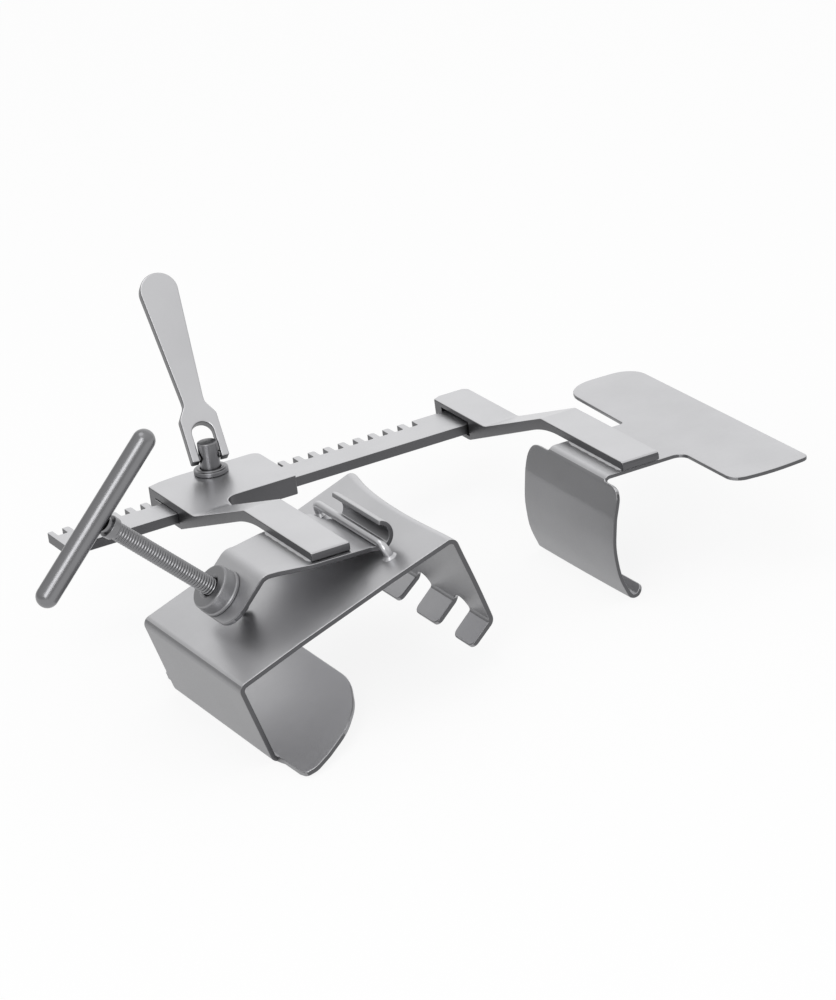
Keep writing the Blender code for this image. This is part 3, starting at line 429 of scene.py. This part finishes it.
# Folding lever and its pin. A flat key, blanked and satin finished, whose forked foot straddles the
# shaft: it leans back on the pin and turns the shaft when it stands upright.
turned, leaned = math.radians(-9), math.radians(38)
pin_way = np.array((math.cos(turned), math.sin(turned), 0))
lever_way = np.array((-math.sin(turned) * math.sin(leaned), math.cos(turned) * math.sin(leaned),
                      math.cos(leaned)))
lever_flat = np.cross(pin_way, lever_way)
pivot = PIN + (0, 0, 10.7)
THICK, TIP, TIP_AT, ARCH, ARCH_AT = 5.2, 8.0, 73.6, 4.6, 9.6
side = [(ARCH, -2.2, 0.3), (8.0, -2.2, 0.8), (7.9, 17.0, 2.4), (4.5, 22.6, 4.0), (4.55, 25.5, 0)]
t = np.radians(np.arange(-4, 185, 4))
tip = [(x, y, 0) for x, y in zip(TIP * np.cos(t), TIP_AT + TIP * np.sin(t))]
t = np.radians(np.arange(0, 181, 6))
arch = [(x, y, 0) for x, y in zip(-ARCH * np.cos(t), ARCH_AT + ARCH * np.sin(t))]
key = rounded(side + tip + [(-w, l, r) for w, l, r in reversed(side)] + arch, 8)
verts, faces = slab(key, THICK, 0.6, lambda u, v, d: pivot + pin_way * u[:, None]
                    + lever_way * v[:, None] + lever_flat * (d[:, None] - THICK / 2))
# The key's rim faces get the darker side material: painted shade.
piece("lever_handle_fine", verts, faces, SATIN, "lever", "lever_handle",
      others=[(lambda n: np.abs(n @ lever_flat) < STEEP, SHADED_SIDES)])
profile = turned_line([(0, -7.95, 0), (1.5, -7.95, 0.3), (1.5, 7.95, 0.3), (0, 7.95, 0)])
verts, faces = revolved(profile, pivot, pin_way, 40)
piece("lever_pin_fine", verts, faces, BRIGHT, "pinion", "lever_pin", 45)


# Hinge strap. A bent sheet brazed under the moving arm. Its left tab holds the screw's boss, and on
# the right it is rolled up into the J-shaped hook in which the lift frame's rod lies.
class Fold:
    """A sheet's path in XZ: straight runs between corners (x, z, radius), with an arc at each corner."""

    def __init__(self, corners):
        self.pts = np.array([c[:2] for c in corners], float)
        runs = np.diff(self.pts, axis=0)
        lengths = np.linalg.norm(runs, axis=1)
        self.way = runs / lengths[:, None]
        self.at = np.r_[0, np.cumsum(lengths)]
        self.rad = np.array([c[2] for c in corners], float)
        a, b = self.way[:-1], self.way[1:]
        self.turn = np.r_[0, np.arctan2(a[:, 0] * b[:, 1] - a[:, 1] * b[:, 0], (a * b).sum(1)), 0]
        self.reach = self.rad * np.tan(np.abs(self.turn) / 2)

    def place(self, s):
        """Points at the distances s along the path, and the outward direction there. On an arc, the
        first run's end and direction are turned by the share of the arc that is passed."""
        s = np.asarray(s, float)
        i = np.clip(np.searchsorted(self.at, s, side="right") - 1, 0, len(self.way) - 1)
        way = self.way[i]
        spot = self.pts[i] + way * (s - self.at[i])[:, None]
        for k in np.nonzero(self.reach)[0]:
            near = np.abs(s - self.at[k]) <= self.reach[k]
            a = self.way[k - 1]
            left = np.array((-a[1], a[0])) * np.sign(self.turn[k])
            t = self.turn[k] * (s[near] - self.at[k] + self.reach[k]) / (2 * self.reach[k])
            swing = lambda v: np.cos(t)[:, None] * v + np.sin(t)[:, None] * np.array((-v[1], v[0]))
            spot[near] = self.pts[k] - a * self.reach[k] + left * self.rad[k] + swing(-left * self.rad[k])
            way[near] = swing(a)
        return spot, np.c_[way[:, 1], -way[:, 0]]

    def splits(self, per_degree=0.25, step=8.0):
        """Distances at which a sheet is split: close together on the arcs, step apart elsewhere."""
        out = [np.array((0.0, self.at[-1]))]
        for k in np.nonzero(self.reach)[0]:
            n = max(3, int(math.degrees(abs(self.turn[k])) * per_degree))
            out.append(np.linspace(self.at[k] - self.reach[k], self.at[k] + self.reach[k], n + 1))
        ends = np.sort(np.concatenate(out))
        out += [np.linspace(a, b, int((b - a) / step) + 2)[1:-1]
                for a, b in zip(ends, ends[1:]) if b - a > step]
        s = np.sort(np.concatenate(out))
        s = s[(s > 0.05) & (s < self.at[-1] - 0.05)]
        return s[np.r_[True, np.diff(s) > 0.05]]


def laid(fold, push=None):
    """Gives slab() the place(s, y, depth) of a sheet that follows a fold: the path's point at s, moved
    in by the depth, at Y = y. push(s, y) adds a hollow or a bulge."""
    def place(s, y, depth):
        spot, out = fold.place(s)
        spot = spot - out * depth[:, None]
        if push:
            spot = spot + np.stack(push(s, y), -1)
        return np.c_[spot[:, 0], y, spot[:, 1]]
    return place


# Stainless steel sheet, rolled and then brushed lengthwise: a little rougher.
SHEET = steel("brushed_steel_sheet", "C4C4C6", 0.36, 0.10, 0.035, (0.25, 1, 1))
# The same steel, matt and greyer. The boss is this grey all over; on the sheets' steep faces the greyer
# tone is painted shade, standing in for the dark room that those faces mirror.
BOSS_GREY_AND_SHEET_SHADE = steel("grey_steel_and_painted_sheet_shade", "929294", 0.40, 0.15, 0.035)

# The sheet's level, the right side of its hook, the bend at its tab, the tab's length, and how far
# down the tab the screw stands.
UNDER, HOOK, BEND, TAB, SCREW_ON_TAB = 18.1, 80.5, 29.4, 24.4, 14.5
drop = math.radians(45.6)
tab_down = np.array((-math.cos(drop), -math.sin(drop)))
strap = Fold([(HOOK - 3.73, UNDER + 8.32, 0), (HOOK, UNDER + 7.5, 4.1), (HOOK, UNDER, 4.1),
              (BEND, UNDER, 6.0), (BEND + TAB * tab_down[0], UNDER + TAB * tab_down[1], 0)])
at = lambda x: strap.at[2] + (HOOK - x)
tab, tab_end = strap.at[3], strap.at[4]
blank = rounded([(0.0, -132.4, 1.2), (at(79.0), -132.8, 3), (at(73.0), -130.7, 3), (at(49.1), -130.0, 6),
                 (at(35.4), -126.4, 5), (tab + 2, -125.7, 3), (tab_end, -125.5, 9.5), (tab_end, -89.7, 9.5),
                 (tab + 2, -90.4, 2), (tab - 4, -90.3, 3), (at(46.4), -85.9, 6), (at(71.0), -80.5, 3.0),
                 (at(73.0), -92.5, 3.5), (at(79.0), -94.0, 3.0), (0.0, -91.4, 1.2)])
verts, faces = slab(blank, 2.0, 0.45, laid(strap), strap.splits())
# Steep sheet faces get the greyer material, the sheets' ends across Y the darker one: painted shade.
cut = [(upright, BOSS_GREY_AND_SHEET_SHADE), (lambda n: np.abs(n[:, 1]) > 0.8, SHADED_SIDES)]
piece("hinge_strap_fine", verts, faces, SHEET, "slider", "hinge_strap", others=cut)


# Screw boss. A round nut with a small foot ring, turned from stainless steel and brazed on the
# strap's tab. The thrust screw runs in it.
screw_way = np.array((-math.sin(drop), 0, math.cos(drop)))
screw_at = np.array((BEND + SCREW_ON_TAB * tab_down[0], -107.0, UNDER + SCREW_ON_TAB * tab_down[1]))
profile = turned_line([(4.0, 0.15, 0), (9.8, 0.15, 0.1), (9.8, 1.0, 0.35), (9.3, 1.5, 0.3), (9.3, 7.0, 1.0),
                       (5.2, 7.0, 0.35), (4.0, 6.1, 0.2), (4.0, 0.15, 0)])
verts, faces = revolved(profile, screw_at, screw_way)
piece("screw_boss_fine", verts, faces, BOSS_GREY_AND_SHEET_SHADE, "slider", "screw_boss", 50)


# Thrust screw, collar, swivel tip and T-bar. A rolled thread runs through the boss down to the tip,
# which presses on the lift frame's plate. The T-bar is pushed on the screw's upper end.
BAR_UP, BAR_R, LOW_END, LEAD = 64.7, 4.5, -9.0, 1.25
END = BAR_UP - BAR_R - 0.3
sides, rows = 64, 560
h = np.linspace(LOW_END, END + 0.6, rows)[:, None]
t = np.linspace(0, 1, sides, endpoint=False)[None, :]
wave = 1 - np.abs(2 * ((h / LEAD - t) % 1.0) - 1)                # a V thread, one turn for each lead
wave = np.clip((wave - 0.12) / 0.76, 0, 1)
wave = 0.5 * wave + 0.5 * wave * wave * (3 - 2 * wave)            # with rounded crests and roots
fade = np.clip(np.minimum((h - LOW_END) / 1.2, (END - 5.2 - h) / 0.9), 0, 1)
radius = np.minimum(3.3, 2.9 + (h - LOW_END) * 0.5) + 0.35 * wave * fade
a = 2 * math.pi * t
out, over = np.array((0, 1, 0)), np.cross(screw_way, (0, 1, 0))
from_axis = np.cos(a)[..., None] * out + np.sin(a)[..., None] * over
verts = screw_at + screw_way * h[..., None] + radius[..., None] * from_axis
ids = np.arange(rows * sides).reshape(rows, sides)
faces = [ids[0].tolist(), ids[-1].tolist()] + closed_rows(ids)
piece("thrust_screw_fine", verts.reshape(-1, 3), faces, BRIGHT, "screw", "thrust_screw",
      60, weighted=False)
profile = turned_line([(3.3, END - 4.6, 0), (4.4, END - 4.6, 0.5), (4.6, END - 1.2, 0.5),
                       (3.3, END - 1.2, 0), (3.3, END - 4.6, 0)])
verts, faces = revolved(profile, screw_at, screw_way)
piece("screw_collar_fine", verts, faces, BRIGHT, "screw", "screw_collar", 50)
profile = turned_line([(0, -12.5, 0), (1.6, -12.5, 0.5), (2.6, -11.5, 0.5), (2.6, -9.3, 0.2), (0, -9.3, 0)])
verts, faces = revolved(profile, screw_at, screw_way, 48)
piece("thrust_tip_fine", verts, faces, BRIGHT, "screw_thrust", "thrust_tip", 50)
t = np.radians(np.arange(0, 91, 6))
half = np.c_[BAR_R * np.sin(t), -34.4 - BAR_R * np.cos(t)]
bar_way = np.cross((0, 1, 0), screw_way)
verts, faces = revolved(np.r_[half, half[::-1] * (1, -1)], screw_at + screw_way * BAR_UP, bar_way)
piece("t_bar_fine", verts, faces, BRIGHT, "screw", "t_bar", 60, weighted=False)


# Lift frame. One sheet, folded four times: the plate under the screw, the web and foot that go round
# a rib, and on the other side a flange whose three prongs are turned in as hooks for tapes.
def toward(spot, deg, length):
    """The point at a distance from spot, in the direction deg: 0 to the right, 90 up."""
    return spot + length * np.array((math.cos(math.radians(deg)), math.sin(math.radians(deg))))


TILT = 18.5       # degrees by which the plate and the foot rise to the right
web_bend = np.array((1.02, -11.11))
flange_bend = toward(web_bend, TILT, 104.16)
foot_bend = toward(web_bend, 16.01 - 90, 36.4)
hook_bend = toward(flange_bend, 15.82 - 90, 41.1)
plate = toward(np.zeros(2), TILT, 1)
lift = Fold([(*toward(hook_bend, 222, 13.6), 0), (*hook_bend, 4.0), (*flange_bend, 3.5), (*web_bend, 3.5),
             (*foot_bend, 3.5), (*toward(foot_bend, TILT, 46.7), 0)])
_, hook_s, plate_s, web_s, foot_s, _ = lift.at
NEAR, FAR, EAR = -152.5, -65.0, 22.4
ear = [(2.6, 0.77, 1.0), (4.0, 0.96, 2.5), (8.5, 1.0, 6.0), (16.0, 0.866, 20.0), (28.0, 0.5625, 36.0),
       (38.5, 0.036, 38.0), (46.4, -0.76, 34.0)]
neck = [(2.3, 0.205, 1.0), (0.6, 0.018, 0)]
front = [(foot_s + u, NEAR - v * EAR, r) for u, v, r in neck[::-1] + ear]
smaller = 0.78
rear = [(foot_s + u, FAR + v * EAR * smaller, r * smaller) for u, v, r in ear[::-1] + neck]
prongs = [(-152.1, -136.2), (-122.9, -104.1), (-92.1, -70.9)]
flange = [(hook_s + 2.0, -70.9, 5.0)]
for k, slant in ((2, 1.8), (1, 0.3), (0, 0.3)):
    a, b = prongs[k]
    flange += [(0.0, b, 3.0), (0.0, a + slant, 3.0)]
    if k:
        c = prongs[k - 1][1]
        flange += [(hook_s + 4.6, a, (a - c) * 0.49), (hook_s + 4.6, c, (a - c) * 0.49)]
flange += [(hook_s - 2.0, NEAR + 0.4, 6.0)]
plate_front = [(plate_s - 2, NEAR + 0.2, 0), (plate_s + 30, NEAR + 1.2, 60), (web_s - 30, NEAR + 1.2, 60),
               (web_s - 2, NEAR, 0)]
plate_rear = [(web_s + 4, FAR, 0), (web_s - 4, FAR - 0.4, 0), (plate_s + 8, FAR + 2.0, 0),
              (plate_s - 3, FAR + 2.6, 2.0)]
blank = rounded(flange + plate_front + front + rear + plate_rear)


def drawn_in(s, y):
    """The bend above the flange is drawn in between its ends by a parabola 2.5 mm deep. Its ends shift
    by a fifth power of the way across, the rear one out and the front one in. Both die away along the
    sheet as a bell curve."""
    across = (y - (NEAR + FAR) / 2) / ((FAR - NEAR) / 2)
    shift = across ** 5 - 2.5 * np.maximum(0.0, 1 - across ** 2)
    shift = shift * np.exp(-((s - plate_s) / 18.75) ** 2)
    return shift * plate[0], shift * plate[1]


verts, faces = slab(blank, 2.0, 0.45, laid(lift, drawn_in), lift.splits(step=5.0))
piece("lift_frame_fine", verts, faces, SHEET, "lift", "lift_frame", others=cut)


# Bail rod and its welds. A round wire bent into a staple. Its long side lies in the strap's hook and
# is the lift frame's hinge; its legs stand in two small weld beads on the plate.
FRONT_LEG, REAR_LEG, WIRE, ELBOW = -136.7, -77.5, 1.7, 4.6
normal = np.array((-plate[1], 0, plate[0]))
rod_at = np.array((75.7, 0, 20.05))
rise = (rod_at - (web_bend[0], 0, web_bend[1])) @ normal
t = np.radians(np.arange(0, 91, 6))
leg = np.r_[[(0.0, rise - 0.05)], np.c_[ELBOW - ELBOW * np.cos(t), ELBOW - ELBOW * np.sin(t)]]
ends = [rod_at + (0, y, 0) + np.array((0, sign, 0)) * leg[:, :1] - normal * leg[:, 1:]
        for y, sign in ((FRONT_LEG, 1), (REAR_LEG, -1))]
path = np.r_[ends[0], ends[1][::-1]]
ahead = np.gradient(path, axis=0)
ahead /= np.linalg.norm(ahead, axis=1)[:, None]
level = np.cross((0, 1, 0), normal)
sides = 32
a = np.linspace(0, 2 * math.pi, sides, endpoint=False)[None, :, None]
verts = path[:, None] + WIRE * (level * np.cos(a) + np.cross(ahead, level)[:, None] * np.sin(a))
ids = np.arange(len(path) * sides).reshape(-1, sides)
faces = [ids[0].tolist(), ids[-1].tolist()] + closed_rows(ids)
piece("bail_rod_fine", verts.reshape(-1, 3), faces, SATIN, "lift", "bail_rod", 60,
      weighted=False)
bead = turned_line([(1.5, 0.0, 0), (3.0, 0.0, 0.05), (2.5, 0.4, 0.8), (1.9, 1.05, 0.2), (1.5, 1.05, 0),
                    (1.5, 0.0, 0)])
for name, y in (("bail_weld_front", FRONT_LEG), ("bail_weld_rear", REAR_LEG)):
    verts, faces = revolved(bead, rod_at + (0, y, 0) - normal * rise, normal, 48)
    piece(name + "_fine", verts, faces, SHEET, "lift", name, 60)


# Blade. One thin sheet: a wide outer plate, a neck under the fixed arm and a down-blade with a
# turned lip, pressed slightly hollow towards the rib.
# Along X: the outer plate's right and left sides, and the bend at the neck's end. Along Y: the edges
# of the outer plate, the neck and the down-blade.
OUT, WEST, NECK = 244.6, 209.0, 174.3
REAR, NECK_REAR, NECK_FRONT, DOWN_FRONT, FRONT_RIM = -35.6, -89.2, -134.1, -145.5, -173.0
blade = Fold([(OUT, UNDER, 0), (NECK, UNDER, 3.4), (NECK - 2.9, 4.0, 30.0), (NECK - 4.4, -8.0, 40.0),
              (NECK - 3.3, -20.5, 30.0), (175.6, -32.9, 3.0), (181.4, -27.7, 0)])
turn_s, end_s = blade.at[1], blade.at[-1]
along_at = lambda x: OUT - x
blank = rounded([(0.0, REAR, 10), (along_at(WEST + 1.6), REAR, 14), (along_at(WEST), NECK_REAR, 1.5),
                 (turn_s + 1.2, NECK_REAR, 1.2), (turn_s + 1.5, -72.8, 9), (end_s, -72.5, 4),
                 (end_s, -144.5, 4), (turn_s + 1.5, DOWN_FRONT, 6), (turn_s + 1.2, NECK_FRONT, 1.2),
                 (along_at(WEST + 0.9), NECK_FRONT, 4.5), (along_at(WEST + 0.9), FRONT_RIM, 6),
                 (0.0, FRONT_RIM, 3)])


def barrelled(s, y):
    """The outer plate droops by a square towards its right and rear edges, and sags at its front rim by
    a sine along the rim that dies away as a bell curve behind it. The down-blade is a little barrelled:
    a slope at its rear side goes over to a half sine at its front, with a parabola across both."""
    out = 1 - s / along_at(WEST - 1)
    behind = np.maximum(0.0, (y - NECK_REAR) / 53.6)
    rim = 0.9 * np.sin(math.pi * np.clip(s / along_at(WEST), 0, 1)) * np.exp(-((y - FRONT_RIM) / 11) ** 2)
    on_plate = s < along_at(WEST - 1)
    fade = np.clip((s - turn_s - 1) / 12.0, 0, 1)
    down = np.clip((s - turn_s) / (end_s - turn_s), 0, 1)
    back = (y - DOWN_FRONT) / 72.7
    sag = 1.2 * np.minimum(1.0, 0.1 + 1.5 * down) * back + 1.08 * np.sin(math.pi * down) * (1 - back)
    sag = fade * (sag + 0.3 * (1 - (2 * back - 1) ** 2))
    return np.where(on_plate, 0.0, -sag), np.where(on_plate, -0.4 * out ** 2 - 0.2 * behind ** 2 - rim, 0.0)


verts, faces = slab(blank, 1.6, 0.4, laid(blade, barrelled), blade.splits(step=4.0))
piece("blade_plate_fine", verts, faces, SHEET, "rack_side", "blade_plate", others=cut)


# Brazed seams. The filler along both joints between arm and sheet: a thin hollow fillet whose width
# wavers a little along its length and runs out at both ends.
bed = 0.2         # how far the filler's back lies inside the arm's side
for name, x, sign, y0, y1, body in (("strap_seam_left", MOVING, 1, -126.5, -86.0, "slider"),
                                    ("strap_seam_right", MOVING + ARM, -1, -127.5, -84.0, "slider"),
                                    ("blade_seam_left", FIXED, 1, -133.0, -91.0, "rack_side"),
                                    ("blade_seam_right", FIXED + ARM, -1, -133.0, -91.0, "rack_side")):
    y = np.linspace(y0, y1, 60)[:, None]
    run_out = np.minimum(1.0, 0.25 + np.minimum(y - y0, y1 - y) / 2.8)
    size = (1.25 + 0.12 * np.sin(0.9 * y) + 0.08 * np.sin(2.3 * y)) * run_out
    a = np.radians(np.linspace(0, 90, 7))[None]
    across = np.c_[-sign * size * (1 - np.sin(a)) + sign * bed, np.full(len(y), sign * bed)]
    high = np.c_[size * (1 - np.cos(a)), np.zeros(len(y))]
    verts = np.stack([x + across, np.repeat(y, 8, 1), UNDER - 0.02 + high], -1).reshape(-1, 3)
    ids = np.arange(len(verts)).reshape(len(y), 8)
    faces = [ids[0].tolist(), ids[-1].tolist()] + closed_rows(ids)
    piece(name + "_fine", verts, faces, SATIN, body, name, 60, weighted=False)


# Studio. White paper lies under the instrument. Camera and metal both see it white, and it keeps a
# faint shadow.
scene = bpy.context.scene
scene.view_settings.view_transform = "Standard"

# White paper: matt, and lit so evenly that it shows as white with a faint shadow.
paper = bpy.data.materials.new("white_studio_paper")
paper.use_nodes = True
tree = paper.node_tree
bsdf = tree.nodes["Principled BSDF"]
bsdf.inputs["Base Color"].default_value = linear("F2F2F2")
bsdf.inputs["Roughness"].default_value = 0.9
bsdf.inputs["Specular IOR Level"].default_value = 0.1
ray = node(tree, "ShaderNodeLightPath")
seen = node(tree, "ShaderNodeMath", {"operation": "MAXIMUM"},
            {0: ray.outputs["Is Camera Ray"], 1: ray.outputs["Is Glossy Ray"]})
seen = node(tree, "ShaderNodeMath", {"operation": "MAXIMUM"},
            {0: seen.outputs[0], 1: ray.outputs["Is Transmission Ray"]})
EVEN = 0.86       # this share of what is seen is even white, and the rest is lit paper with its shadow
share = node(tree, "ShaderNodeMath", {"operation": "MULTIPLY"}, {0: seen.outputs[0], 1: EVEN})
glow = node(tree, "ShaderNodeEmission", inputs={"Color": (1, 1, 1, 1), "Strength": 1.0})
mixed = node(tree, "ShaderNodeMixShader",
             inputs={"Fac": share.outputs[0], 1: bsdf.outputs[0], 2: glow.outputs[0]})
tree.links.new(mixed.outputs[0], tree.nodes["Material Output"].inputs["Surface"])
REACH, LOW = 15.0, -0.0002          # metres
mesh = bpy.data.meshes.new("floor")
mesh.from_pydata([(-REACH, -REACH, LOW), (REACH, -REACH, LOW), (REACH, REACH, LOW), (-REACH, REACH, LOW)],
                 [], [(0, 1, 2, 3)])
mesh.materials.append(paper)
floor = bpy.data.objects.new("floor", mesh)
scene.collection.objects.link(floor)

# The room: even grey paper all round, and three soft patches that brighten it, behind the rack, at
# the front right and overhead at the left. Each is a direction, the cosines between which it fades
# in, and its strength.
ROOM = 0.55
PATCHES = (((0.63, 0.75, 0.17), 0.55, 0.97, 0.55), ((0.62, -0.45, 0.65), 0.4, 1.0, 0.32),
           ((-0.45, 0.1, 0.9), 0.3, 1.0, 0.2))
world = bpy.data.worlds.new("studio") if scene.world is None else scene.world
scene.world = world
world.use_nodes = True
tree = world.node_tree
tree.nodes.clear()
where = node(tree, "ShaderNodeTexCoord").outputs["Generated"]
light = None
for toward_it, low, high, strength in PATCHES:
    facing = node(tree, "ShaderNodeVectorMath", {"operation": "DOT_PRODUCT"},
                  {0: where, 1: tuple(Vector(toward_it).normalized())})
    base = 0.0 if light else ROOM
    shade = node(tree, "ShaderNodeMapRange", {"interpolation_type": "SMOOTHSTEP"},
                 {"Value": facing.outputs["Value"], "From Min": low, "From Max": high,
                  "To Min": base, "To Max": base + strength})
    light = shade if light is None else node(tree, "ShaderNodeMath", {"operation": "ADD"},
                                             {0: light.outputs[0], 1: shade.outputs[0]})
back = node(tree, "ShaderNodeBackground", inputs={"Color": (1, 1, 1, 1), "Strength": light.outputs[0]})
node(tree, "ShaderNodeOutputWorld", inputs={"Surface": back.outputs[0]})


def lamp(name, at, to, width, height, power):
    """A soft box that faces a point."""
    data = bpy.data.lights.new(name, "AREA")
    data.shape = "RECTANGLE"
    data.size, data.size_y, data.energy = width, height, power
    obj = bpy.data.objects.new(name, data)
    obj.location = at
    obj.rotation_euler = (Vector(to) - Vector(at)).to_track_quat("-Z", "Y").to_euler()
    scene.collection.objects.link(obj)


lamp("top_box", (-0.3, 0.1, 1.8), (0, 0, 0.05), 1.2, 0.9, 4)
lamp("left_box", (-1.05, -1.24, 1.12), (0, 0, 0.05), 0.8, 1.1, 9)

# The camera was fitted to the teeth and the arms in the photograph: its axes and its place in the
# rack's frame, and its lens.
right = Vector((0.8781, -0.4619, -0.1250))
down = Vector((-0.2755, -0.2744, -0.9213))
ahead = Vector((0.3912, 0.8434, -0.3682))
camera = bpy.data.objects.new("camera", bpy.data.cameras.new("camera"))
turned = Matrix((LEAN @ right, LEAN @ -down, LEAN @ -ahead)).transposed().to_4x4()
turned.translation = placed((-632.79, -1700.59, 716.33))
camera.matrix_world = turned
camera.data.sensor_fit = "VERTICAL"
camera.data.sensor_height = 36
camera.data.lens = 174.9
scene.collection.objects.link(camera)
scene.camera = camera
